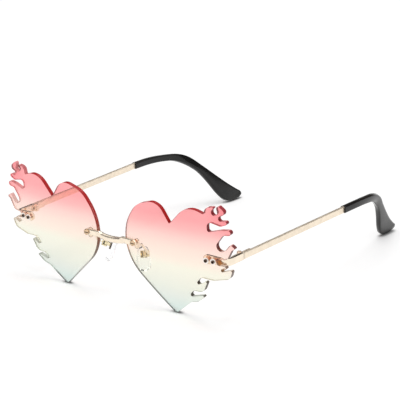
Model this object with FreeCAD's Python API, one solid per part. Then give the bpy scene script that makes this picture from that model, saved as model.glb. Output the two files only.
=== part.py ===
import FreeCAD, Part
import math
import os

V = FreeCAD.Vector
Placement = FreeCAD.Placement
Rotation = FreeCAD.Rotation

# Rimless sunglasses with flame-edged heart lenses, in millimetres and degrees.
# +X is the wearer's left, +Y runs back along the temples, +Z is up from the table.
# The left side is built and mirrored for the right side.

# Lens blank: a plate of even thickness bent to a sphere, crowned near its middle
LENS_THICKNESS = 2.0
LENS_RADIUS = 240.0
CROWN_U = 2.0
CROWN_V = 30.0
LENS_SPREAD = 33.8
LENS_WRAP = 3.0
LENS_TILT = 5.0

# Lens outline: circles passed in turn, clockwise seen from the front, with tangent lines between.
# Each is u (outward), v (up from the heart's point) and radius, negative where the edge is hollow.
NASAL_SIDE = (-3.9, 31.0, 21.5)
HEART_POINT = (-0.9, 1.3, 1.5)
HEART_TOP = [
    NASAL_SIDE,
    (-10.6, 38.0, 12.0),
    (-8.7, 43.6, 7.2),
    (0.7, 43.4, -0.5),
    (12.8, 41.5, 9.6),
    (18.4, 50.3, -0.5),
]
FLAME_CREST = [
    (21.6, 50.6, 2.6),
    (23.1, 53.0, 0.35),
    (24.0, 51.3, -1.5),
    (26.0, 53.2, 0.9),
    (27.25, 51.6, 1.4),
    (27.1, 48.85, -1.2),
]
FLAME_SIDE = [
    (29.1, 47.1, 0.8),
    (26.7, 47.3, 1.8),
    (22.0, 44.7, -1.8),
    (21.4, 43.4, -1.2),
    (27.4, 41.6, 2.1),
    (30.5, 42.9, 1.1),
    (28.8, 40.0, -1.7),
    (26.9, 36.4, -2.4),
    (31.4, 36.5, 1.0),
    (32.7, 36.2, 0.4),
    (32.6, 34.4, -1.2),
    (27.6, 32.9, 2.5),
    (25.5, 28.75, -1.5),
    (27.7, 26.55, 0.7),
]
FLAME_FOOT = [
    (26.6, 25.3, -0.75),
    (30.5, 25.1, 0.6),
    (27.6, 24.2, 3.0),
    (21.5, 21.8, 2.0),
    (16.3, 17.6, -2.5),
    (13.9, 17.4, -0.8),
    (17.4, 17.9, 0.6),
    (13.8, 16.0, 3.0),
    (11.4, 10.9, -2.1),
    (9.6, 10.7, -0.8),
    (15.1, 10.8, 0.5),
    (11.6, 9.8, 2.0),
    (8.9, 6.0, -1.0),
    HEART_POINT,
]

# Screws through the lenses: one at the bridge, a pair with washers at the temple
SCREW_DIAMETER = 1.2
SCREW_HEAD_DIAMETER = 2.6
SCREW_HEAD_HEIGHT = 0.6
SLOT_WIDTH = 0.35
SLOT_DEPTH = 0.2
PIN_HEAD_DIAMETER = 1.6
PIN_HEAD_HEIGHT = 0.4
SOCKET_WIDTH = 0.8
SOCKET_DEPTH = 0.8
SOCKET_SIDES = 6
WASHER_DIAMETER = 2.8
WASHER_HEIGHT = 0.35
FIT_CLEARANCE = 0.03

# Bridge: a bevelled bar between the lenses, dipped in the middle, with a strap on the front of each lens
BRIDGE_SCREW_U = -20.2
BRIDGE_SCREW_V = 30.0
STRAP_WIDTH = 2.8
STRAP_THICKNESS = 1.0
BRIDGE_HEIGHT = 2.9
BRIDGE_DEPTH = 2.0
BRIDGE_BEVEL = 0.6
BRIDGE_DIP = 1.2
BRIDGE_EDGE_GAP = 0.1

# Nose pads, each on a bent wire arm from an eye behind the lens to a box with a cross screw
PAD_X = 12.4
PAD_Y = 7.2
PAD_Z = 21.9
PAD_SPLAY = 25.0
PAD_LEAN = 15.0
PAD_PITCH = 15.0
PAD_ROUND_TOP = 2.6
PAD_ROUND_LOW = 3.3
PAD_LENGTH = 11.2
PAD_THICKNESS = 2.4
PAD_EDGE_BEVEL = 0.8
PAD_DROP = 2.0
LUG_RADIUS = 0.9
LUG_HEIGHT = 1.5
LUG_REACH = 2.6
LUG_WIDTH = 1.3
INSERT_WIDTH = 3.2
INSERT_THICKNESS = 0.7
BOX_WALL = 0.5
BOX_WIDTH = 2.2
BOX_CLEARANCE = 0.1
PAD_SCREW_DIAMETER = 0.9
PAD_SCREW_HEAD_DIAMETER = 1.6
PAD_SCREW_HEAD_HEIGHT = 0.45
PAD_SCREW_TAIL = 0.3
PAD_ARM_DIAMETER = 0.9
PAD_ARM_SIDES = 8
PAD_EYE_WIDTH = 2.2
PAD_ARM_DROP = 2.4
PAD_ARM_STUB = 2.2
PAD_ARM_HOOK = 1.6
PAD_ARM_BEND = 0.9

# Endpieces: a plate behind each lens on a pair of screws, bent back into an arm
PIN_U = 20.6
PIN_V = 28.9
PIN_PITCH = 3.6
PLATE_ROUND = 2.1
PLATE_REACH = 4.6
TEMPLE_SPREAD = 62.0
BAR_THICKNESS = 1.3
BAR_HEIGHT = 3.1
BAR_BEVEL = 0.3
ARM_BEND = 2.6

# Temple hinges: a leaf with two knuckles on the arm, one knuckle on the temple, one screw
HINGE_SETBACK = 12.7
SEAM = 0.2
KNUCKLE_COUNT = 3
KNUCKLE_RADIUS = 1.15
KNUCKLE_GAP = 0.1
PIVOT_CLEARANCE = 0.05
LEAF_LENGTH = 6.0
LEAF_THICKNESS = 0.7
HINGE_SCREW_DIAMETER = 1.1
HINGE_SCREW_HEAD_DIAMETER = 1.9
HINGE_SCREW_HEAD_HEIGHT = 0.3
HINGE_SCREW_TAIL = 0.3

# Temples: a flat metal bar with a round tang, rising and splaying a little from the hinge
TEMPLE_SPLAY = 1.2
TEMPLE_RISE = 1.4
BAR_LENGTH = 73.3
TANG_DIAMETER = 1.3
TANG_CLEARANCE = 0.05
TANG_INSET = 2.0
TANG_LENGTH = 14.0

# Moulded tips: drawn flat in a plane that leans inward below the bar.
# Lengths run back from the end of the bar.
SLEEVE_HEIGHT = 3.2
SLEEVE_THICKNESS = 2.8
TIP_LEAN = 30.0
TIP_OUTER_BEND = 30.0
TIP_OUTER_START = 14.7
TIP_INNER_BEND = 20.0
TIP_INNER_START = 18.0
TIP_TOE_REACH = 7.2
TIP_TOE_ROUND = 1.6
TIP_TOE_LIFT = 0.4
TIP_HEEL = 57.0
TIP_HEEL_ROUND = 4.6
TIP_BEVEL = 0.8

RIGHTWARD = V(1, 0, 0)
BACKWARD = V(0, 1, 0)
UPWARD = V(0, 0, 1)
ORIGIN = V(0, 0, 0)


def unit(vector):
    return V(vector).normalize()


def frame(origin, x_axis, y_axis):
    return Placement(origin, Rotation(x_axis, y_axis, x_axis.cross(y_axis), "XYZ"))


def placed(shape, placement):
    return shape.transformed(placement.toMatrix())


def mirrored(shape):
    return shape.mirror(ORIGIN, RIGHTWARD)


def box(low, high):
    size = high - low
    return Part.makeBox(size.x, size.y, size.z, low)


def rod(diameter, low, high, axis):
    """Cylinder on the axis through the origin, from low to high along it."""
    return Part.makeCylinder(diameter / 2, high - low, axis * low, axis)


def belt(circles):
    """Wire in the XY plane round a chain of circles, clockwise, by arcs and tangent lines."""
    followers = circles[1:] + circles[:1]
    normals = []
    for (x1, y1, r1), (x2, y2, r2) in zip(circles, followers):
        reach = math.hypot(x2 - x1, y2 - y1)
        lean = math.acos(max(-1.0, min(1.0, (r1 - r2) / reach)))
        normals.append(math.atan2(y2 - y1, x2 - x1) + lean)

    def rim(circle, angle):
        x, y, radius = circle
        return V(x + radius * math.cos(angle), y + radius * math.sin(angle), 0)

    edges = []
    for index, (circle, follower) in enumerate(zip(circles, followers)):
        arrive = normals[index - 1]
        leave = normals[index]
        way = -1 if circle[2] > 0 else 1
        turn = (way * (leave - arrive)) % (2 * math.pi)
        middle = arrive + way * turn / 2
        edges.append(Part.Arc(rim(circle, arrive), rim(circle, middle), rim(circle, leave)).toShape())
        edges.append(Part.LineSegment(rim(circle, leave), rim(follower, leave)).toShape())
    return Part.Wire(edges)


def slab(circles, low, high):
    """Plate with the belt's outline in the XZ plane, from low to high along +Y."""
    solid = Part.Face(belt(circles)).extrude(V(0, 0, low - high))
    solid.translate(V(0, 0, -low))
    solid.rotate(ORIGIN, RIGHTWARD, 90)
    return solid


def rounded_path(points, radius):
    """Wire through the points, its corners turned by tangent arcs of the radius."""
    edges = []
    start = points[0]
    for before, corner, after in zip(points, points[1:], points[2:]):
        inward = unit(before - corner)
        onward = unit(after - corner)
        half = inward.getAngle(onward) / 2
        cut = radius / math.tan(half)
        centre = corner + unit(inward + onward) * (radius / math.sin(half))
        middle = centre + unit(corner - centre) * radius
        edges.append(Part.LineSegment(start, corner + inward * cut).toShape())
        edges.append(Part.Arc(corner + inward * cut, middle, corner + onward * cut).toShape())
        start = corner + onward * cut
    edges.append(Part.LineSegment(start, points[-1]).toShape())
    return Part.Wire(edges)


def sweep(path, corners):
    """Solid made by carrying a polygon along a path."""
    return path.makePipeShell([Part.makePolygon(corners + corners[:1])], True, False)


def polygon(sides, width):
    """Corners of an even polygon round the Z axis, of the given width across its flats."""
    corner = V(width / (2 * math.cos(math.pi / sides)), 0, 0)
    return [Rotation(UPWARD, 360 * side / sides).multVec(corner) for side in range(sides)]


def wire_rod(path, sides, width):
    """Thin wire of many flats along a path."""
    first = path.Edges[0]
    start = first.valueAt(first.FirstParameter)
    place = Placement(start, Rotation(UPWARD, first.tangentAt(first.FirstParameter)))
    return sweep(path, [place.multVec(corner) for corner in polygon(sides, width)])


def screw(diameter, length, head_diameter, head_height):
    """Screw on the Z axis: its head stands on the origin and its shank hangs below."""
    head = rod(head_diameter, 0, head_height, UPWARD)
    return head.fuse(rod(diameter, -length, 0, UPWARD))


def slot(head_diameter, head_height):
    """Cutter for a slot across the top of a head."""
    reach = V(head_diameter, SLOT_WIDTH / 2, SLOT_DEPTH)
    top = UPWARD * head_height
    return box(top - reach, top + reach)


# Where the lens blank sits: the heart's point touches the table

def lens_depth(u, v):
    """How far the lens's front face lies behind its crown."""
    run = math.hypot(u - CROWN_U, v - CROWN_V)
    return LENS_RADIUS - math.sqrt(LENS_RADIUS ** 2 - run ** 2)


def lens_place():
    tilt = math.radians(LENS_TILT)
    point_u, point_v, point_radius = HEART_POINT
    low_v = point_v - point_radius
    lowest = low_v * math.cos(tilt) + lens_depth(point_u, low_v) * math.sin(tilt)
    turn = Rotation(UPWARD, LENS_WRAP).multiply(Rotation(RIGHTWARD, LENS_TILT))
    return Placement(V(LENS_SPREAD, 0, -lowest), turn)


LENS_PLACE = lens_place()
LENS_CENTRE = LENS_PLACE.multVec(V(CROWN_U, LENS_RADIUS, CROWN_V))
FRONT_BALL = Part.makeSphere(LENS_RADIUS, LENS_CENTRE)
REAR_BALL = Part.makeSphere(LENS_RADIUS - LENS_THICKNESS, LENS_CENTRE)


def lens_seat(u, v):
    """Frame on the lens's front face: X outward, Y straight through to the back, Z up."""
    point = V(u, lens_depth(u, v), v)
    back = unit(V(CROWN_U, LENS_RADIUS, CROWN_V) - point)
    outward = unit(back.cross(UPWARD))
    return LENS_PLACE.multiply(frame(point, outward, back))


BRIDGE_SEAT = lens_seat(BRIDGE_SCREW_U, BRIDGE_SCREW_V)
PIN_SEAT = lens_seat(PIN_U, PIN_V)
PLATE_BACK = LENS_THICKNESS + STRAP_THICKNESS
SCREW_BORE = SCREW_DIAMETER + 2 * FIT_CLEARANCE


def pin_seats():
    """The parallel pair of screws at the endpiece."""
    steps = [Placement(V(side * PIN_PITCH / 2, 0, 0), Rotation()) for side in (-1, 1)]
    return [PIN_SEAT.multiply(step) for step in steps]


def at_each(solid, seats):
    """Copies of a fastener on the front of the lenses, its Z axis towards the viewer."""
    stand = frame(ORIGIN, RIGHTWARD, UPWARD)
    left = [placed(solid, seat.multiply(stand)) for seat in seats]
    return Part.makeCompound(left + [mirrored(copy) for copy in left])


def bore(seat):
    """Clearance hole for a screw through the lens and the metal on it."""
    return placed(rod(SCREW_BORE, -LENS_THICKNESS, 2 * PLATE_BACK, BACKWARD), seat)


def lens():
    outline = HEART_TOP + FLAME_CREST + FLAME_SIDE + FLAME_FOOT
    deepest = max(lens_depth(u, v) for u, v, radius in outline)
    blank = slab(outline, -LENS_THICKNESS, 2 * (deepest + LENS_THICKNESS))
    solid = placed(blank, LENS_PLACE).common(FRONT_BALL).cut(REAR_BALL)
    return solid.cut([bore(seat) for seat in [BRIDGE_SEAT] + pin_seats()])


def bridge_screw():
    length = STRAP_THICKNESS + PLATE_BACK
    solid = screw(SCREW_DIAMETER, length, SCREW_HEAD_DIAMETER, SCREW_HEAD_HEIGHT)
    solid = solid.cut(slot(SCREW_HEAD_DIAMETER, SCREW_HEAD_HEIGHT))
    solid.translate(UPWARD * STRAP_THICKNESS)
    return solid


def pin_washer():
    washer = rod(WASHER_DIAMETER, 0, WASHER_HEIGHT, UPWARD)
    return washer.cut(rod(SCREW_BORE, -WASHER_HEIGHT, 2 * WASHER_HEIGHT, UPWARD))


def pin_screw():
    solid = screw(SCREW_DIAMETER, WASHER_HEIGHT + PLATE_BACK, PIN_HEAD_DIAMETER, PIN_HEAD_HEIGHT)
    corners = polygon(SOCKET_SIDES, SOCKET_WIDTH)
    socket = Part.Face(Part.makePolygon(corners + corners[:1])).extrude(UPWARD * 2 * SOCKET_DEPTH)
    socket.translate(UPWARD * (PIN_HEAD_HEIGHT - SOCKET_DEPTH))
    solid = solid.cut(socket)
    solid.translate(UPWARD * WASHER_HEIGHT)
    return solid


# Bridge

def bridge_half():
    """Half length of the bar, just clear of the lenses' nasal edges."""
    u, v, radius = NASAL_SIDE
    edge = LENS_PLACE.multVec(V(u - radius, lens_depth(u - radius, v), v))
    return edge.x - BRIDGE_EDGE_GAP


def bridge_bar(half_length, end):
    """Bevelled bar, bowed downward, whose ends meet the given point and its mirror image."""
    radius = (half_length ** 2 + BRIDGE_DIP ** 2) / (2 * BRIDGE_DIP)
    middle = V(0, end.y, end.z - BRIDGE_DIP)
    pivot = middle + UPWARD * radius
    turn = math.degrees(math.asin(half_length / radius))
    rise = BRIDGE_HEIGHT / 2
    depth = BRIDGE_DEPTH / 2
    flank = rise - BRIDGE_BEVEL
    crest = depth - BRIDGE_BEVEL
    quarter = [V(depth, flank, 0), V(crest, rise, 0)]
    half = quarter + [V(-corner.x, corner.y, 0) for corner in reversed(quarter)]
    corners = half + [corner * -1 for corner in half]
    section = Part.Face(Part.makePolygon(corners + corners[:1]))
    section = placed(section, frame(middle, BACKWARD, UPWARD))
    section.rotate(pivot, BACKWARD, turn)
    bar = section.revolve(pivot, BACKWARD, -2 * turn)
    reach = V(half_length, BRIDGE_DEPTH, radius)
    return bar.common(box(middle - reach, middle + reach))


def bridge():
    half_length = bridge_half()
    inner = BRIDGE_SEAT.inverse().multVec(V(half_length, BRIDGE_SEAT.Base.y, BRIDGE_SEAT.Base.z)).x
    cap = STRAP_WIDTH / 2
    outline = [(inner - cap, 0, cap), (0, 0, cap)]
    strap = placed(slab(outline, -STRAP_THICKNESS, LENS_THICKNESS), BRIDGE_SEAT)
    strap = strap.cut([FRONT_BALL, bore(BRIDGE_SEAT)])
    end = BRIDGE_SEAT.multVec(V(inner, -STRAP_THICKNESS, 0)) + BACKWARD * (BRIDGE_DEPTH / 2)
    return bridge_bar(half_length, end).fuse([strap, mirrored(strap)]).removeSplitter()


# Nose pads, in a frame on the pad screw: X towards the nose, Z along the screw

def pad_place():
    turn = Rotation(BACKWARD, -PAD_LEAN).multiply(Rotation(RIGHTWARD, -PAD_PITCH))
    return Placement(V(PAD_X, PAD_Y, PAD_Z), turn.multiply(Rotation(UPWARD, 180 - PAD_SPLAY)))


PAD_PLACE = pad_place()
WEB_X = LUG_RADIUS + BOX_CLEARANCE
BOX_HALF = LUG_HEIGHT / 2 + BOX_CLEARANCE + BOX_WALL


def pad_box():
    side = BOX_WIDTH / 2
    inner = BOX_HALF - BOX_WALL
    shell = box(V(-WEB_X - BOX_WALL, -side, -BOX_HALF), V(LUG_RADIUS, side, BOX_HALF))
    space = box(V(-WEB_X, -2 * side, -inner), V(2 * LUG_RADIUS, 2 * side, inner))
    hole = rod(PAD_SCREW_DIAMETER + 2 * FIT_CLEARANCE, -2 * BOX_HALF, 2 * BOX_HALF, UPWARD)
    return placed(shell.cut([space, hole]), PAD_PLACE)


def pad_screw():
    length = 2 * BOX_HALF + PAD_SCREW_TAIL
    solid = screw(PAD_SCREW_DIAMETER, length, PAD_SCREW_HEAD_DIAMETER, PAD_SCREW_HEAD_HEIGHT)
    solid = solid.cut(slot(PAD_SCREW_HEAD_DIAMETER, PAD_SCREW_HEAD_HEIGHT))
    solid.translate(UPWARD * BOX_HALF)
    return placed(solid, PAD_PLACE)


def pad_insert(grow):
    """Block of the lug that is bedded in the back of the pad, grown for its pocket."""
    half = INSERT_WIDTH / 2 + grow
    return box(V(LUG_REACH, -half, -half), V(LUG_REACH + INSERT_THICKNESS + grow, half, half))


def pad_lug():
    eye = rod(2 * LUG_RADIUS, -LUG_HEIGHT / 2, LUG_HEIGHT / 2, UPWARD)
    half = LUG_WIDTH / 2
    tongue = box(V(0, -half, -LUG_HEIGHT / 2), V(LUG_REACH + INSERT_THICKNESS, half, LUG_HEIGHT / 2))
    hole = rod(PAD_SCREW_DIAMETER + 2 * PIVOT_CLEARANCE, -LUG_HEIGHT, LUG_HEIGHT, UPWARD)
    return placed(eye.fuse([tongue, pad_insert(0)]).cut(hole), PAD_PLACE)


def nose_pad():
    rise = PAD_LENGTH / 2 - PAD_ROUND_TOP
    fall = PAD_LENGTH / 2 - PAD_ROUND_LOW
    outline = belt([(0, rise - PAD_DROP, PAD_ROUND_TOP), (0, -fall - PAD_DROP, PAD_ROUND_LOW)])
    pad = Part.Face(outline).extrude(UPWARD * PAD_THICKNESS)
    face_rim = [edge for edge in pad.Edges if edge.BoundBox.ZMin > PAD_THICKNESS / 2]
    pad = pad.makeChamfer(PAD_EDGE_BEVEL, face_rim)
    pad = placed(pad, frame(RIGHTWARD * LUG_REACH, BACKWARD, UPWARD))
    return placed(pad.cut(pad_insert(FIT_CLEARANCE)), PAD_PLACE)


def pad_arm():
    cap = PAD_EYE_WIDTH / 2
    eye = placed(slab([(0, 0, cap), (0, -PAD_ARM_DROP, cap)], 0, PLATE_BACK), BRIDGE_SEAT)
    eye = eye.common(REAR_BALL).cut(bore(BRIDGE_SEAT))
    start = BRIDGE_SEAT.multVec(V(0, PLATE_BACK - STRAP_THICKNESS / 2, -PAD_ARM_DROP))
    stub = BRIDGE_SEAT.multVec(V(0, PLATE_BACK + PAD_ARM_STUB, -PAD_ARM_DROP))
    hook = PAD_PLACE.multVec(V(-WEB_X - BOX_WALL - PAD_ARM_HOOK, 0, 0))
    end = PAD_PLACE.multVec(V(-WEB_X - BOX_WALL, 0, 0))
    path = rounded_path([start, stub, hook, end], PAD_ARM_BEND)
    return eye.fuse(wire_rod(path, PAD_ARM_SIDES, PAD_ARM_DIAMETER))


# Temple frame: on the middle of the bar at the hinge seam, X outward, Y along the bar

def temple_place():
    splay = math.radians(TEMPLE_SPLAY)
    rise = math.radians(TEMPLE_RISE)
    along = V(math.sin(splay) * math.cos(rise), math.cos(splay) * math.cos(rise), math.sin(rise))
    across = V(math.cos(splay), -math.sin(splay), 0)
    return frame(V(TEMPLE_SPREAD, HINGE_SETBACK, PIN_SEAT.Base.z), across, along)


TEMPLE_PLACE = temple_place()
HINGE_AXIS = V(-BAR_THICKNESS / 2 - KNUCKLE_GAP - KNUCKLE_RADIUS, 0, 0)
KNUCKLE_PITCH = BAR_HEIGHT / KNUCKLE_COUNT
KNUCKLE_HEIGHT = KNUCKLE_PITCH - KNUCKLE_GAP
HINGE_HALF = (BAR_HEIGHT - KNUCKLE_GAP) / 2


def bar_section(station):
    half = BAR_THICKNESS / 2
    rise = BAR_HEIGHT / 2
    return [V(x, station, z) for x, z in ((-half, -rise), (half, -rise), (half, rise), (-half, rise))]


def arm_path():
    """Centre line of the endpiece: along the plate, round the corner, back to the seam."""
    level = PLATE_BACK - BAR_THICKNESS / 2
    start = PIN_SEAT.multVec(V(PIN_PITCH / 2 + SCREW_DIAMETER, level, 0))
    plate_end = PIN_SEAT.multVec(V(PLATE_REACH, level, 0))
    normal = unit(plate_end - start).cross(UPWARD)
    seam = TEMPLE_PLACE.multVec(V(0, -SEAM / 2, 0))
    along = TEMPLE_PLACE.Rotation.multVec(BACKWARD)
    corner = seam - along * ((seam - start).dot(normal) / along.dot(normal))
    start.z = corner.z
    return rounded_path([start, corner, seam], ARM_BEND)


def endpiece():
    outline = [(-PIN_PITCH / 2, 0, PLATE_ROUND), (PLATE_REACH, 0, BAR_HEIGHT / 2)]
    plate = placed(slab(outline, 0, PLATE_BACK), PIN_SEAT)
    corners = [TEMPLE_PLACE.multVec(corner) for corner in bar_section(-SEAM / 2)]
    elbow = sweep(arm_path(), corners)
    holes = [bore(seat) for seat in pin_seats()]
    return plate.fuse(elbow).common(REAR_BALL).cut(holes).removeSplitter()


def knuckle(level, side):
    """One knuckle and its web; side is -1 towards the front and 1 towards the temple."""
    low = HINGE_AXIS + UPWARD * (level * KNUCKLE_PITCH - KNUCKLE_HEIGHT / 2)
    web_x = KNUCKLE_RADIUS + KNUCKLE_GAP
    ends = sorted((0, side * (web_x + LEAF_THICKNESS)))
    web = box(low + V(0, ends[0], 0), low + V(web_x, ends[1], KNUCKLE_HEIGHT))
    return Part.makeCylinder(KNUCKLE_RADIUS, KNUCKLE_HEIGHT, low).fuse(web)


def hinge_leaf(levels, side):
    """Hinge half fixed to the inner face of the bar."""
    ends = sorted((side * (KNUCKLE_RADIUS + KNUCKLE_GAP), side * LEAF_LENGTH))
    inner = -BAR_THICKNESS / 2
    plate = box(V(inner - LEAF_THICKNESS, ends[0], -HINGE_HALF), V(inner, ends[1], HINGE_HALF))
    hole = rod(HINGE_SCREW_DIAMETER + 2 * PIVOT_CLEARANCE, -BAR_HEIGHT, BAR_HEIGHT, UPWARD)
    hole.translate(HINGE_AXIS)
    leaf = plate.fuse([knuckle(level, side) for level in levels]).cut(hole)
    return placed(leaf.removeSplitter(), TEMPLE_PLACE)


def hinge_screw():
    length = 2 * HINGE_HALF + HINGE_SCREW_TAIL
    solid = screw(HINGE_SCREW_DIAMETER, length, HINGE_SCREW_HEAD_DIAMETER, HINGE_SCREW_HEAD_HEIGHT)
    solid = solid.cut(slot(HINGE_SCREW_HEAD_DIAMETER, HINGE_SCREW_HEAD_HEIGHT))
    solid.translate(HINGE_AXIS + UPWARD * HINGE_HALF)
    return placed(solid, TEMPLE_PLACE)


# Temples

def tip_frame():
    """Plane of the tip in the temple frame: X along the bar, Y up and outward."""
    lean = math.radians(TIP_LEAN)
    return frame(ORIGIN, BACKWARD, V(math.sin(lean), 0, math.cos(lean)))


def tang(inset, grow):
    """Round end of the bar that carries the tip, grown for its socket."""
    end = BAR_LENGTH + TANG_LENGTH + grow
    return rod(TANG_DIAMETER + 2 * grow, BAR_LENGTH - inset, end, BACKWARD)


def temple():
    corners = bar_section(SEAM / 2)
    bar = box(corners[0], corners[2] + BACKWARD * (BAR_LENGTH - SEAM / 2))
    long_edges = [edge for edge in bar.Edges if edge.BoundBox.YLength > BAR_LENGTH / 2]
    bar = bar.makeChamfer(BAR_BEVEL, long_edges)
    return placed(bar.fuse(tang(TANG_INSET, 0)).removeSplitter(), TEMPLE_PLACE)


def rest_height(station, radius, lift):
    """Where in the tip's plane a rounded end of the radius stays the lift above the table."""
    rise = math.radians(TEMPLE_RISE)
    lean = math.radians(TIP_LEAN)
    table = -(TEMPLE_PLACE.Base.z + station * math.sin(rise)) / math.cos(rise)
    flank = (SLEEVE_THICKNESS / 2 - TIP_BEVEL) * math.sin(lean)
    return (table + lift + flank) / math.cos(lean) + radius


def tip_outline():
    """Sleeve end, outer bend, toe and heel on the table, inner bend."""
    half = SLEEVE_HEIGHT / 2
    heel = BAR_LENGTH + TIP_HEEL
    toe = heel + TIP_TOE_REACH
    return [
        (BAR_LENGTH, 0, half),
        (BAR_LENGTH + TIP_OUTER_START, half - TIP_OUTER_BEND, TIP_OUTER_BEND),
        (toe, rest_height(toe, TIP_TOE_ROUND, TIP_TOE_LIFT), TIP_TOE_ROUND),
        (heel, rest_height(heel, TIP_HEEL_ROUND, 0), TIP_HEEL_ROUND),
        (BAR_LENGTH + TIP_INNER_START, -half - TIP_INNER_BEND, -TIP_INNER_BEND),
    ]


def temple_tip():
    blank = Part.Face(belt(tip_outline())).extrude(UPWARD * SLEEVE_THICKNESS)
    blank.translate(UPWARD * (-SLEEVE_THICKNESS / 2))
    rims = [edge for edge in blank.Edges if edge.BoundBox.ZLength < SLEEVE_THICKNESS / 2]
    blank = placed(blank.makeChamfer(TIP_BEVEL, rims), tip_frame())
    reach = V(SLEEVE_HEIGHT, SLEEVE_HEIGHT, SLEEVE_HEIGHT)
    mouth = BACKWARD * BAR_LENGTH
    before_mouth = box(mouth - reach, mouth + V(reach.x, 0, reach.z))
    socket = tang(TANG_INSET, TANG_CLEARANCE)
    return placed(blank.cut([before_mouth, socket]), TEMPLE_PLACE)


# Assembly

def pair(name, solid):
    return {name + "_left": solid, name + "_right": mirrored(solid)}


def both(solid):
    return Part.makeCompound([solid, mirrored(solid)])


def assembly():
    nodes = {"bridge": bridge()}
    nodes.update(pair("lens", lens()))
    nodes["bridge_screws"] = at_each(bridge_screw(), [BRIDGE_SEAT])
    nodes["pin_washers"] = at_each(pin_washer(), pin_seats())
    nodes["pin_screws"] = at_each(pin_screw(), pin_seats())
    nodes.update(pair("pad_arm", pad_arm()))
    nodes.update(pair("pad_box", pad_box()))
    nodes.update(pair("pad_lug", pad_lug()))
    nodes.update(pair("nose_pad", nose_pad()))
    nodes["pad_screws"] = both(pad_screw())
    nodes.update(pair("endpiece", endpiece()))
    nodes.update(pair("hinge_front_leaf", hinge_leaf((-1, 1), -1)))
    nodes.update(pair("hinge_temple_leaf", hinge_leaf((0,), 1)))
    nodes["hinge_screws"] = both(hinge_screw())
    nodes.update(pair("temple", temple()))
    nodes.update(pair("temple_tip", temple_tip()))
    return nodes


def main():
    nodes = assembly()
    bounds = Part.makeCompound(list(nodes.values())).optimalBoundingBox(False)
    shift = V(0, -bounds.Center.y, -bounds.ZMin)
    os.makedirs("parts", exist_ok=True)
    for name, shape in nodes.items():
        shape.translate(shift)
        shape.exportStep(os.path.join("parts", name + ".step"))
        print(name, len(shape.Solids), shape.isValid(), round(shape.Volume, 2))
    print("size", bounds.XLength, bounds.YLength, bounds.ZLength)
    print("shift", shift)
    print("hinge", TEMPLE_PLACE.multVec(HINGE_AXIS) + shift, TEMPLE_PLACE.Rotation.multVec(UPWARD))
    print("pad screw", PAD_PLACE.Base + shift, PAD_PLACE.Rotation.multVec(UPWARD))
    face = TEMPLE_PLACE.multVec(V(BAR_THICKNESS / 2, BAR_LENGTH / 2, 0))
    print("temple face", face + shift, TEMPLE_PLACE.Rotation.multVec(RIGHTWARD))
    ear = TEMPLE_PLACE.multVec(V(0, BAR_LENGTH + TIP_INNER_START, -SLEEVE_HEIGHT / 2))
    print("ear rest", ear + shift)


main()
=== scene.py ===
import math

import bmesh
import bpy
from mathutils import Matrix, Vector

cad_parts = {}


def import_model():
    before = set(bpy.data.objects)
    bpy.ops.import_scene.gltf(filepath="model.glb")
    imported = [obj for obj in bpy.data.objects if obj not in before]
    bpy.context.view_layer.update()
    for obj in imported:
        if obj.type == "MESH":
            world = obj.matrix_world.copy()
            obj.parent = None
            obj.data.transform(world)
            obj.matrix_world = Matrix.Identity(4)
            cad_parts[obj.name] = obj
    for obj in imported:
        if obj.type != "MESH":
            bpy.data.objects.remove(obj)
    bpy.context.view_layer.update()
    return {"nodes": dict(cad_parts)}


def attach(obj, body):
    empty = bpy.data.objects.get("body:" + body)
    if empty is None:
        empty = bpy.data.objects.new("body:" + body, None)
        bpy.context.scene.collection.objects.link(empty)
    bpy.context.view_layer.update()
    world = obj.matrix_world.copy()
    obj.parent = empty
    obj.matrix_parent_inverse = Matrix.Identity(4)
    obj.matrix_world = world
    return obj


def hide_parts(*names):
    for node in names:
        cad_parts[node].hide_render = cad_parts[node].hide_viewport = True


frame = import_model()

NODES = frame["nodes"]
MILLIMETRE = 0.001
WHITE = (1.0, 1.0, 1.0)

# Camera, in metres and degrees, for a square picture
CAMERA_AZIMUTH = 39.5
CAMERA_ELEVATION = 17.432
CAMERA_ROLL = -1.5
CAMERA_PLACE = Vector((0.4982, -0.61859, 0.2766))
CAMERA_NEAR = 0.01
SENSOR = 0.036
FOCAL_LENGTH = 0.15729

# Lens colours, each after its height above the table in metres: first the tinted faces
TINT = [
    (0.0033, (0.675, 0.785, 0.75)),
    (0.0081, (0.75, 0.81, 0.755)),
    (0.0129, (0.81, 0.845, 0.75)),
    (0.0224, (0.90, 0.89, 0.76)),
    (0.027, (0.95, 0.82, 0.71)),
    (0.032, (0.98, 0.75, 0.66)),
    (0.0367, (1.0, 0.64, 0.59)),
    (0.0414, (1.0, 0.47, 0.46)),
    (0.046, (1.0, 0.38, 0.39)),
]
# The same for the painted light and shade on the walls of the heart's edge: deep red high up, brown and grey
# low down
EDGE_LIGHT_AND_SHADE = [
    (0.0, (0.22, 0.23, 0.205)),
    (0.017, (0.19, 0.155, 0.11)),
    (0.028, (0.34, 0.11, 0.06)),
    (0.037, (0.48, 0.025, 0.022)),
    (0.0545, (0.52, 0.012, 0.015)),
]
# The same for the painted light and shade on the walls of the flames: near black low down, a pale band, dark
# red above
FLAME_LIGHT_AND_SHADE = [
    (0.0, (0.05, 0.05, 0.045)),
    (0.010, (0.055, 0.055, 0.05)),
    (0.0165, (0.085, 0.075, 0.065)),
    (0.0235, (0.34, 0.28, 0.24)),
    (0.0325, (0.24, 0.11, 0.07)),
    (0.037, (0.22, 0.045, 0.045)),
    (0.043, (0.26, 0.035, 0.04)),
    (0.0545, (0.42, 0.035, 0.05)),
]
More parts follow.
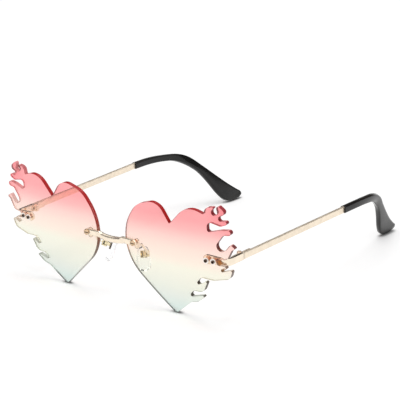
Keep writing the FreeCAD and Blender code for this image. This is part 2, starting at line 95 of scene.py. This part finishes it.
# The same for the painted shade on the walls deep in a notch, near black low down and dark red high up, with
# an orange painted reflection of the gold endpiece between
NOTCH_SHADE_AND_REFLECTION = [
    (0.0, (0.02, 0.02, 0.018)),
    (0.018, (0.05, 0.045, 0.035)),
    (0.0245, (0.22, 0.13, 0.07)),
    (0.0275, (0.85, 0.36, 0.06)),
    (0.0305, (0.75, 0.24, 0.05)),
    (0.0345, (0.15, 0.055, 0.035)),
    (0.040, (0.17, 0.02, 0.018)),
    (0.0545, (0.30, 0.015, 0.018)),
]
CREST_FACE = (0.92, 0.24, 0.27)
LENS_TOP = 0.0545

# Regions of the lens: distances from the middle where they begin, and heights where they begin or end
FLAMES_BEGIN = (0.048, 0.054)
SIDE_FLAMES_END = (0.0485, 0.0505)
FOOT_FLAMES_BEGIN = (0.038, 0.041)
FOOT_FLAMES_END = (0.022, 0.026)
CREST_BEGINS = (0.053, 0.062)
CREST_RISES = (0.039, 0.049)
CREST_SHARE = 0.8

# Walls of the lens, which face neither front nor back, where their painted light and shade go, and how dense
# they look
WALL_FACING = 0.6
OUTWARD_FACING = (0.05, 0.35)
TONGUE_WIDTH = 0.006
TONGUE_RUN = (0.08, 0.12)
NOTCH_WIDTH = 0.0025
NOTCH_OPENNESS = (0.35, 0.85)
WALL_TRANSMISSION = 0.15
WALL_SPECULAR = 0.1
WALL_ROUGHNESS = 0.2
WALL_SHADOW = (0.14, 0.13, 0.12)
LENS_TRANSMISSION = 1.0
LENS_SPECULAR = 0.5
LENS_CLOUD = 90.0
LENS_HAZE = 0.02
LENS_IOR = 1.5

# Metals: name, colour, painted shade colour in recesses, openness up to which the shade is painted, roughness,
# depth of the brushed grain and rounding of the edges in metres, and the pieces made of it
GOLD = (0.98, 0.86, 0.70)
# Painted shade: the colour that gold takes in its recesses
GOLD_RECESS_SHADE = (0.42, 0.22, 0.08)
METALS = [
    ("rounded_gold", GOLD, GOLD_RECESS_SHADE, 0.25, 0.12, 0.000003, 0.0012, ["bridge"]),
    ("plated_gold", GOLD, GOLD_RECESS_SHADE, 0.25, 0.12, 0.000003, 0.0003, ["endpiece"]),
    ("brushed_gold", GOLD, GOLD_RECESS_SHADE, 0.25, 0.4, 0.000003, 0.00012, ["temple"]),
    (
        "satin_gold", GOLD, GOLD_RECESS_SHADE, 0.25, 0.42, 0.000004, 0.0003,
        ["hinge_front_leaf", "hinge_temple_leaf", "hinge_screws"],
    ),
    ("bent_wire", (0.97, 0.90, 0.78), (0.62, 0.48, 0.30), 0.0, 0.12, 0.000003, 0.0004, ["pad_arm"]),
    (
        "turned_brass", (0.88, 0.77, 0.52), (0.06, 0.04, 0.02), 0.5, 0.18, 0.000004, 0.0003,
        ["pad_screws", "pad_box", "pad_lug"],
    ),
    ("turned_bronze", (0.72, 0.52, 0.34), (0.05, 0.03, 0.02), 0.35, 0.2, 0.000004, 0.0005, ["bridge_screws"]),
    ("pin_steel", (0.15, 0.10, 0.075), (0.006, 0.006, 0.006), 0.5, 0.25, 0.000004, 0.0002, ["pin_screws"]),
]
METAL_CLOUD = 420.0
METAL_SHADE = 0.88
RECESS_WIDTH = 0.0012
RECESS_FADE = 0.4
BRUSH_SCALE = 2600.0
BRUSH_DETAIL = 2.0
BRUSH_STRETCH = (1.0, 0.04, 1.0)
BRUSH_ROUGHNESS = 0.05

# Plastics: scale of the cloudy noise, the two colours and the roughness that it runs between
CLEAR_CLOUD = 160.0
CLEAR_TINTS = ((0.95, 0.97, 1.0), WHITE)
CLEAR_ROUGHNESS = (0.05, 0.12)
CLEAR_SHADOW = (0.95, 0.96, 0.97)
CLEAR_IOR = 1.42
NYLON_CLOUD = 500.0
NYLON_TINTS = ((0.96, 0.90, 0.84), (0.99, 0.95, 0.91))
NYLON_ROUGHNESS = (0.25, 0.35)
NYLON_METALLIC = 0.7
BLACK_CLOUD = 60.0
BLACK_TINTS = ((0.008, 0.0078, 0.0076), (0.013, 0.0126, 0.0123))
BLACK_ROUGHNESS = (0.1, 0.18)
BLACK_SPECULAR = 0.35
BLACK_SHEEN = 1.0
BLACK_SHEEN_ROUGHNESS = 0.08
BLACK_GRAIN = 3000.0
BLACK_GRAIN_DETAIL = 4.0
BLACK_GRAIN_DEPTH = 0.00002
BLACK_ROUNDING = 0.0004

# Moulded tips, in millimetres and degrees, from the end of the bar to the end of the paddle.
# Each row is a point of the front edge and one of the back edge, and the thickness there.
# A point is its way back along the bar, up in the plane that leans inward, and inward out of that plane.
TIP_ROWS = [
    ((0.0, -1.4, -0.8), (0.0, 1.4, 0.8), 2.8),
    ((10.0, -1.7, -0.6), (10.0, 1.1, 1.0), 2.8),
    ((19.0, -2.9, 0.1), (19.5, 0.0, 1.5), 2.8),
    ((27.0, -5.2, 1.1), (29.0, -2.1, 2.2), 2.8),
    ((33.5, -9.3, 2.1), (36.5, -6.1, 2.3), 2.8),
    ((39.5, -14.7, 1.6), (43.5, -13.1, 2.3), 2.8),
    ((44.0, -21.3, 0.7), (50.0, -19.6, 1.7), 2.8),
    ((47.8, -28.2, -0.4), (57.0, -26.2, 0.9), 2.7),
    ((51.3, -32.9, -1.0), (62.5, -30.6, 0.1), 2.6),
    ((54.3, -34.6, -1.2), (65.1, -32.5, -0.3), 2.5),
    ((57.0, -35.2, -1.2), (65.3, -34.2, -0.5), 2.3),
    ((60.0, -35.4, -1.2), (63.2, -35.2, -0.6), 2.0),
]
# Lean of the tips' plane, steps from row to row, sides of a ring and the power that squares it,
# the angle of a sharp crease and the depth of the mouth
TIP_LEAN = 30.0
TIP_STEPS = 8
TIP_SIDES = 24
TIP_CORNER = 0.38
TIP_CREASE = 50.0
TIP_MOUTH = 0.5
# The way back along the left bar
BAR_WAY = Vector((0.016, 1.0, 0.015)).normalized()

# Floor, in metres: its painted contact shadow, and its glow by the square of the distance from the object
FLOOR_SIZE = 8.0
FLOOR_DROP = 0.0001
FLOOR_CLOUD = 3.0
FLOOR_TINTS = ((0.80, 0.80, 0.80), (0.82, 0.82, 0.82))
FLOOR_ROUGHNESS = 0.9
PAINTED_CONTACT_SHADOW = (0.4, 0.4, 0.4)
CONTACT_WIDTH = 0.0025
CONTACT_OPENNESS = (0.4, 0.9)
GLOW_NEAR = 0.3
GLOW_FAR = 0.6
GLOW_STRETCH = (0.1, 1.5)

# Surroundings: their strength as light on the object, and as seen in the picture
SKY_LIGHT = 0.55
SKY_SEEN = 1.0

# Dark cards for the reflections: name, first and last azimuth, lowest and highest elevation, in degrees
CARDS = [
    ("back_card", 38.0, 170.0, 9.0, 42.0),
    ("front_card", 195.0, 255.0, 2.0, 40.0),
]
CARD_RADIUS = 1.3
CARD_STEPS = 24
CARD_CLOUD = 2.0
CARD_TINTS = ((0.05, 0.04, 0.035), (0.08, 0.065, 0.055))

# Lamps: name, place, target and size in metres, and power in watts
LAMPS = [
    ("overhead", (0.02, -0.03, 1.5), (0.02, -0.03, 0.0), 0.9, 7.5),
    ("front_fill", (0.5, -1.7, 0.9), (0.0, 0.0, 0.02), 1.6, 9.0),
]

# Shader nodes: where noise mostly lies and its detail, a share from none to all, an even scale, samples
# for rounded edges, the place where a new colour stop starts, and the Mix node's colour sockets
NOISE_SPAN = (0.3, 0.7)
NOISE_DETAIL = 3.0
SHARE = (0.0, 1.0)
EVEN = (1.0, 1.0, 1.0)
BEVEL_SAMPLES = 8
NEW_STOP = 0.5
MIX_COLOURS = (6, 7)
MIX_RESULT = 2


class Nodes:
    """A node tree and ways to add to it. Sources are numbers, colours or outputs of nodes."""

    def __init__(self, tree):
        self.tree = tree

    def add(self, kind, **settings):
        node = self.tree.nodes.new(kind)
        for name, value in settings.items():
            setattr(node, name, value)
        return node

    def feed(self, source, socket):
        """Set the socket to the number or the colour, or link it to the output."""
        if isinstance(source, tuple):
            socket.default_value = (*source, 1.0)
        elif isinstance(source, (int, float)):
            socket.default_value = source
        else:
            self.tree.links.new(source, socket)

    def span(self, value, stretch, low, high):
        """Low up to the start of the stretch, high from its end, and even between."""
        node = self.add("ShaderNodeMapRange")
        for name, number in zip(("From Min", "From Max", "To Min", "To Max"), (*stretch, low, high)):
            node.inputs[name].default_value = number
        self.feed(value, node.inputs["Value"])
        return node.outputs["Result"]

    def rise(self, value, stretch):
        return self.span(value, stretch, 0.0, 1.0)

    def fall(self, value, stretch):
        return self.span(value, stretch, 1.0, 0.0)

    def math(self, operation, first, second=0.0):
        node = self.add("ShaderNodeMath", operation=operation)
        self.feed(first, node.inputs[0])
        self.feed(second, node.inputs[1])
        return node.outputs["Value"]

    def times(self, first, second):
        return self.math("MULTIPLY", first, second)

    def seen_directly(self):
        """1 for what the camera sees, also by way of glass or a mirror, and 0 for light on the object."""
        path = self.add("ShaderNodeLightPath")
        seen = path.outputs["Is Camera Ray"]
        for ray in ("Is Glossy Ray", "Is Transmission Ray"):
            seen = self.math("MAXIMUM", seen, path.outputs[ray])
        return seen


class Shader(Nodes):
    """A material whose Principled node is fed by the nodes added here."""

    def __init__(self, name):
        self.material = bpy.data.materials.new(name)
        self.material.use_nodes = True
        super().__init__(self.material.node_tree)
        self.principled = self.tree.nodes["Principled BSDF"]
        self.output = self.tree.nodes["Material Output"]
        self.place = self.add("ShaderNodeTexCoord")

    def set(self, **values):
        for name, value in values.items():
            self.principled.inputs[name.replace("_", " ")].default_value = value

    def drive(self, socket, source):
        self.feed(source, self.principled.inputs[socket])

    def axis(self, output, name):
        node = self.add("ShaderNodeSeparateXYZ")
        self.feed(self.place.outputs[output], node.inputs["Vector"])
        return node.outputs[name]

    def noise(self, scale, detail=NOISE_DETAIL, stretch=EVEN):
        mapping = self.add("ShaderNodeMapping")
        mapping.inputs["Scale"].default_value = stretch
        self.feed(self.place.outputs["Object"], mapping.inputs["Vector"])
        texture = self.add("ShaderNodeTexNoise")
        self.feed(scale, texture.inputs["Scale"])
        self.feed(detail, texture.inputs["Detail"])
        self.feed(mapping.outputs["Vector"], texture.inputs["Vector"])
        return texture.outputs["Fac"]

    def ramp(self, value, stops):
        node = self.add("ShaderNodeValToRGB")
        bar = node.color_ramp
        while len(bar.elements) < len(stops):
            bar.elements.new(NEW_STOP)
        for element, (position, colour) in zip(bar.elements, stops):
            element.position = position
            element.color = (*colour, 1.0)
        self.feed(value, node.inputs["Fac"])
        return node.outputs["Color"]

    def mix(self, factor, first, second):
        node = self.add("ShaderNodeMix", data_type="RGBA")
        self.feed(factor, node.inputs["Factor"])
        for source, place in zip((first, second), MIX_COLOURS):
            self.feed(source, node.inputs[place])
        return node.outputs[MIX_RESULT]

    def mottle(self, cloud, first, second):
        """The first colour where the noise is low, and the second where it is high."""
        return self.mix(self.rise(cloud, NOISE_SPAN), first, second)

    def bump(self, height, distance, rounding):
        """Fine relief, on edges that are rounded off within the given radius."""
        edges = self.add("ShaderNodeBevel", samples=BEVEL_SAMPLES)
        self.feed(rounding, edges.inputs["Radius"])
        node = self.add("ShaderNodeBump")
        self.feed(edges.outputs["Normal"], node.inputs["Normal"])
        self.feed(distance, node.inputs["Distance"])
        self.feed(1.0, node.inputs["Strength"])
        self.feed(height, node.inputs["Height"])
        self.drive("Normal", node.outputs["Normal"])

    def openness(self, distance):
        """Share of the outward ways that stay free for the distance: low in a notch or a socket."""
        node = self.add("ShaderNodeAmbientOcclusion")
        self.feed(distance, node.inputs["Distance"])
        return node.outputs["AO"]

    def run_inside(self, distance):
        """Share of the ways inward that go on for the distance: near none in a thin tongue."""
        node = self.add("ShaderNodeAmbientOcclusion", inside=True, only_local=True)
        self.feed(distance, node.inputs["Distance"])
        return node.outputs["AO"]

    def let_lamps_through(self, colour):
        """Light from the lamps passes straight through, tinted, so the shadow stays pale."""
        path = self.add("ShaderNodeLightPath")
        clear = self.add("ShaderNodeBsdfTransparent")
        self.feed(colour, clear.inputs["Color"])
        either = self.add("ShaderNodeMixShader")
        self.feed(path.outputs["Is Shadow Ray"], either.inputs["Fac"])
        self.feed(self.principled.outputs["BSDF"], either.inputs[1])
        self.feed(clear.outputs["BSDF"], either.inputs[2])
        self.feed(either.outputs["Shader"], self.output.inputs["Surface"])


def nodes_of(name):
    """The node of this name, or the left and the right one of a pair."""
    return [name] if name in NODES else [name + "_left", name + "_right"]


def dress(shader, *names):
    for name in names:
        for node in nodes_of(name):
            for slot in NODES[node].material_slots:
                slot.material = shader.material


def put(name, data):
    """A new object in the scene."""
    thing = bpy.data.objects.new(name, data)
    bpy.context.scene.collection.objects.link(thing)
    return thing


def shaded_walls(shader, across, reach, height, flames):
    """1 on walls turned outward and on the heart's own edge, which get painted light and shade, and 0 on
    inward walls of thin flames.
    """
    side = shader.math("SIGN", across)
    outward = shader.rise(shader.times(side, shader.axis("Normal", "X")), OUTWARD_FACING)
    side_flames = shader.times(flames, shader.fall(height, SIDE_FLAMES_END))
    foot_flames = shader.times(shader.rise(reach, FOOT_FLAMES_BEGIN), shader.fall(height, FOOT_FLAMES_END))
    heart = shader.math("SUBTRACT", 1.0, shader.math("MAXIMUM", side_flames, foot_flames))
    thick = shader.rise(shader.run_inside(TONGUE_WIDTH), TONGUE_RUN)
    return shader.math("MAXIMUM", outward, shader.times(heart, thick))


def tinted_lens():
    """Clear faces with a tint that changes with the height, and dense walls round them with painted light and
    shade.
    """
    shader = Shader("tinted_lens")
    across, height = shader.axis("Object", "X"), shader.axis("Object", "Z")
    reach = shader.math("ABSOLUTE", across)
    level = shader.math("DIVIDE", height, LENS_TOP)
    tint, edge, flame, notch = (
        shader.ramp(level, [(z / LENS_TOP, colour) for z, colour in stops])
        for stops in (TINT, EDGE_LIGHT_AND_SHADE, FLAME_LIGHT_AND_SHADE, NOTCH_SHADE_AND_REFLECTION)
    )
    crest = shader.times(
        shader.span(reach, CREST_BEGINS, 0.0, CREST_SHARE),
        shader.rise(height, CREST_RISES),
    )
    face = shader.mix(crest, tint, CREST_FACE)
    flames = shader.rise(reach, FLAMES_BEGIN)
    # Painted shade and reflection: walls that are closed in, as in a notch, take the notch colours
    free = shader.rise(shader.openness(NOTCH_WIDTH), NOTCH_OPENNESS)
    dense = shader.mix(free, notch, shader.mix(flames, edge, flame))
    # Painted light and shade on the walls turned outward and on the heart's edge; the other walls keep the
    # tint
    edges = shader.mix(shaded_walls(shader, across, reach, height, flames), tint, dense)
    wall = shader.math("LESS_THAN", shader.math("ABSOLUTE", shader.axis("Normal", "Y")), WALL_FACING)
    haze = shader.span(shader.noise(LENS_CLOUD), NOISE_SPAN, 0.0, LENS_HAZE)
    shader.drive("Base Color", shader.mix(wall, face, edges))
    shader.drive("Transmission Weight", shader.span(wall, SHARE, LENS_TRANSMISSION, WALL_TRANSMISSION))
    shader.drive("Specular IOR Level", shader.span(wall, SHARE, LENS_SPECULAR, WALL_SPECULAR))
    shader.drive("Roughness", shader.math("ADD", haze, shader.times(wall, WALL_ROUGHNESS)))
    shader.set(IOR=LENS_IOR)
    shader.let_lamps_through(shader.mix(wall, tint, WALL_SHADOW))
    return shader


def metal(name, colour, recess_shade, recess_end, roughness, grain, rounding):
    """Brushed metal with shade painted darker into its recesses."""
    shader = Shader(name)
    darker = tuple(METAL_SHADE * part for part in colour)
    surface = shader.mottle(shader.noise(METAL_CLOUD), darker, colour)
    # Painted shade: where the surface is closed in, its colour goes over to the recess colour
    free = shader.rise(shader.openness(RECESS_WIDTH), (recess_end, recess_end + RECESS_FADE))
    brushed = shader.noise(BRUSH_SCALE, BRUSH_DETAIL, BRUSH_STRETCH)
    uneven = shader.span(brushed, NOISE_SPAN, roughness - BRUSH_ROUGHNESS, roughness + BRUSH_ROUGHNESS)
    shader.drive("Base Color", shader.mix(free, recess_shade, surface))
    shader.drive("Roughness", uneven)
    shader.bump(brushed, grain, rounding)
    shader.set(Metallic=1.0)
    return shader


def clear_plastic():
    shader = Shader("clear_plastic")
    cloud = shader.noise(CLEAR_CLOUD)
    shader.drive("Base Color", shader.mottle(cloud, *CLEAR_TINTS))
    shader.drive("Roughness", shader.span(cloud, NOISE_SPAN, *CLEAR_ROUGHNESS))
    shader.set(IOR=CLEAR_IOR, Transmission_Weight=1.0)
    shader.let_lamps_through(CLEAR_SHADOW)
    return shader


def pale_nylon():
    shader = Shader("pale_nylon")
    cloud = shader.noise(NYLON_CLOUD)
    shader.drive("Base Color", shader.mottle(cloud, *NYLON_TINTS))
    shader.drive("Roughness", shader.span(cloud, NOISE_SPAN, *NYLON_ROUGHNESS))
    shader.set(Metallic=NYLON_METALLIC)
    return shader


def satin_black():
    shader = Shader("satin_black")
    grain = shader.noise(BLACK_GRAIN, BLACK_GRAIN_DETAIL)
    shader.drive("Base Color", shader.mottle(shader.noise(BLACK_CLOUD), *BLACK_TINTS))
    shader.drive("Roughness", shader.span(grain, NOISE_SPAN, *BLACK_ROUGHNESS))
    shader.set(Specular_IOR_Level=BLACK_SPECULAR)
    shader.set(Sheen_Weight=BLACK_SHEEN, Sheen_Roughness=BLACK_SHEEN_ROUGHNESS)
    shader.bump(grain, BLACK_GRAIN_DEPTH, BLACK_ROUNDING)
    return shader


def smooth_rows():
    """The tip's rows, with more between them on a Catmull-Rom curve through them."""
    rows = [Vector((*front, *back, thickness)) for front, back, thickness in TIP_ROWS]
    padded = [2 * rows[0] - rows[1], *rows, 2 * rows[-1] - rows[-2]]
    curve = []
    for a, b, c, d in zip(padded, padded[1:], padded[2:], padded[3:]):
        for step in range(TIP_STEPS):
            t = step / TIP_STEPS
            linear = (c - a) * t
            square = (2 * a - 5 * b + 4 * c - d) * t ** 2
            cube = (3 * b - a - 3 * c + d) * t ** 3
            curve.append(b + (linear + square + cube) / 2)
    return [*curve, rows[-1]]


def squared(share):
    """A cosine or sine drawn towards the corners of a rounded rectangle."""
    return math.copysign(abs(share) ** TIP_CORNER, share)


def tip_edges(row):
    """The row's points of the front edge and of the back edge."""
    return Vector(row[:3]), Vector(row[3:6])


def tip_ring(row, way):
    """Rounded rectangle from edge to edge, with its thickness square to the edges' line and to the way."""
    front, back = tip_edges(row)
    middle, reach = (front + back) / 2, (back - front) / 2
    half = way.cross(reach).normalized() * row[-1] / 2
    turns = [math.tau * step / TIP_SIDES for step in range(TIP_SIDES)]
    return [middle + reach * squared(math.cos(turn)) + half * squared(math.sin(turn)) for turn in turns]


def tip_rings():
    """Rings along the tip, from the bar to the end of the paddle."""
    rows = smooth_rows()
    middles = [(front + back) / 2 for front, back in map(tip_edges, rows)]
    last = len(rows) - 1
    ways = [middles[min(i + 1, last)] - middles[max(i - 1, 0)] for i in range(last + 1)]
    return [tip_ring(row, way) for row, way in zip(rows, ways)]


def end_of_bar():
    """Middle of the mouth where the left tip takes the bar."""
    points = [vertex.co for vertex in NODES["temple_tip_left"].data.vertices]
    front = min(point.y for point in points)
    mouth = [point for point in points if point.y < front + TIP_MOUTH * MILLIMETRE]
    return Vector([(min(p[i] for p in mouth) + max(p[i] for p in mouth)) / 2 for i in range(3)])


def tip_mesh(name, mirror):
    """Skin over the tip's rings, closed at both ends."""
    lean = math.radians(TIP_LEAN)
    outward = Vector((math.cos(lean), 0, -math.sin(lean)))
    axes = Matrix((BAR_WAY, outward.cross(BAR_WAY), -outward)).transposed() * MILLIMETRE
    start = end_of_bar()
    rings = [[start + axes @ point for point in ring] for ring in tip_rings()]
    corners = [(point.x * mirror, point.y, point.z) for ring in rings for point in ring]
    faces = [list(range(TIP_SIDES)), [len(corners) - 1 - i for i in range(TIP_SIDES)]]
    for ring in range(len(rings) - 1):
        for i in range(TIP_SIDES):
            here, beside = ring * TIP_SIDES + i, ring * TIP_SIDES + (i + 1) % TIP_SIDES
            faces.append([here, beside, beside + TIP_SIDES, here + TIP_SIDES])
    mesh = bpy.data.meshes.new(name)
    mesh.from_pydata(corners, [], faces)
    shape = bmesh.new()
    shape.from_mesh(mesh)
    bmesh.ops.recalc_face_normals(shape, faces=shape.faces)
    shape.to_mesh(mesh)
    shape.free()
    mesh.shade_smooth()
    mesh.set_sharp_from_angle(angle=math.radians(TIP_CREASE))
    return mesh


def moulded_tip(side, mirror, shader):
    """Tip swept from its sleeve to a flared, twisted paddle, in place of the plainer solid."""
    mesh = tip_mesh("moulded_tip_" + side, mirror)
    mesh.materials.append(shader.material)
    piece = put("moulded_tip_" + side, mesh)
    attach(piece, "temple_" + side)
    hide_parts("temple_tip_" + side)


def floor():
    """White floor that glows where it is seen, but not as light on the object, and has a painted contact
    shadow where the object stands close.
    """
    bpy.ops.mesh.primitive_plane_add(size=FLOOR_SIZE, location=(0, 0, -FLOOR_DROP))
    plane = bpy.context.object
    plane.name = "floor"
    shader = Shader("floor_white")
    pale = shader.mottle(shader.noise(FLOOR_CLOUD), *FLOOR_TINTS)
    # Painted contact shadow: darker colour and less glow where the floor is closed in by the object
    clear = shader.rise(shader.openness(CONTACT_WIDTH), CONTACT_OPENNESS)
    shader.drive("Base Color", shader.mix(clear, PAINTED_CONTACT_SHADOW, pale))
    shader.set(Roughness=FLOOR_ROUGHNESS, Specular_IOR_Level=0.0, Emission_Color=(*WHITE, 1.0))
    along, across = shader.axis("Object", "X"), shader.axis("Object", "Y")
    away = shader.math("ADD", shader.times(along, along), shader.times(across, across))
    glow = shader.span(away, GLOW_STRETCH, GLOW_NEAR, GLOW_FAR)
    lit = shader.times(shader.seen_directly(), clear)
    shader.drive("Emission Strength", shader.times(lit, glow))
    plane.data.materials.append(shader.material)


def world():
    """White surroundings, dimmer as light on the object than in the picture."""
    surroundings = bpy.data.worlds.new("studio")
    bpy.context.scene.world = surroundings
    surroundings.use_nodes = True
    nodes = Nodes(surroundings.node_tree)
    background = nodes.tree.nodes["Background"]
    nodes.feed(WHITE, background.inputs["Color"])
    nodes.feed(nodes.span(nodes.seen_directly(), SHARE, SKY_LIGHT, SKY_SEEN), background.inputs["Strength"])


def dark_card(name, near, far, low, high):
    """Curved card round the object that only polished surfaces show, as a dark line."""
    rows = []
    for elevation in (low, high):
        rise = CARD_RADIUS * math.sin(math.radians(elevation))
        reach = CARD_RADIUS * math.cos(math.radians(elevation))
        turns = [math.radians(near + (far - near) * step / CARD_STEPS) for step in range(CARD_STEPS + 1)]
        rows.append([(reach * math.cos(turn), reach * math.sin(turn), rise) for turn in turns])
    faces = [(i, i + 1, i + CARD_STEPS + 2, i + CARD_STEPS + 1) for i in range(CARD_STEPS)]
    mesh = bpy.data.meshes.new(name)
    mesh.from_pydata(rows[0] + rows[1], [], faces)
    holder = put(name, mesh)
    shader = Shader(name + "_face")
    shader.drive("Base Color", shader.mottle(shader.noise(CARD_CLOUD), *CARD_TINTS))
    shader.set(Roughness=1.0)
    mesh.materials.append(shader.material)
    for ray in ("camera", "diffuse", "transmission", "shadow"):
        setattr(holder, "visible_" + ray, False)


def softbox(name, place, target, size, power):
    lamp = bpy.data.lights.new(name, "AREA")
    lamp.shape = "SQUARE"
    lamp.size = size
    lamp.energy = power
    holder = put(name, lamp)
    holder.location = place
    holder.rotation_euler = (Vector(target) - Vector(place)).to_track_quat("-Z", "Y").to_euler()


def camera():
    azimuth, elevation, roll = map(math.radians, (CAMERA_AZIMUTH, CAMERA_ELEVATION, CAMERA_ROLL))
    away = Vector((math.sin(azimuth), -math.cos(azimuth), 0)) * math.cos(elevation)
    away.z = math.sin(elevation)
    right = Vector((math.cos(azimuth), math.sin(azimuth), 0))
    up = away.cross(right)
    turned_right = right * math.cos(roll) + up * math.sin(roll)
    turned_up = up * math.cos(roll) - right * math.sin(roll)
    lens = bpy.data.cameras.new("camera")
    lens.sensor_width = SENSOR / MILLIMETRE
    lens.lens = FOCAL_LENGTH / MILLIMETRE
    lens.clip_start = CAMERA_NEAR
    holder = put("camera", lens)
    holder.matrix_world = Matrix((turned_right, turned_up, away)).transposed().to_4x4()
    holder.location = CAMERA_PLACE
    bpy.context.scene.camera = holder


dress(tinted_lens(), "lens")
for name, *finish, pieces in METALS:
    dress(metal(name, *finish), *pieces)
dress(clear_plastic(), "nose_pad")
dress(pale_nylon(), "pin_washers")
black = satin_black()
moulded_tip("left", 1, black)
moulded_tip("right", -1, black)
floor()
world()
for card in CARDS:
    dark_card(*card)
for lamp in LAMPS:
    softbox(*lamp)
camera()
bpy.context.scene.view_settings.view_transform = "Standard"
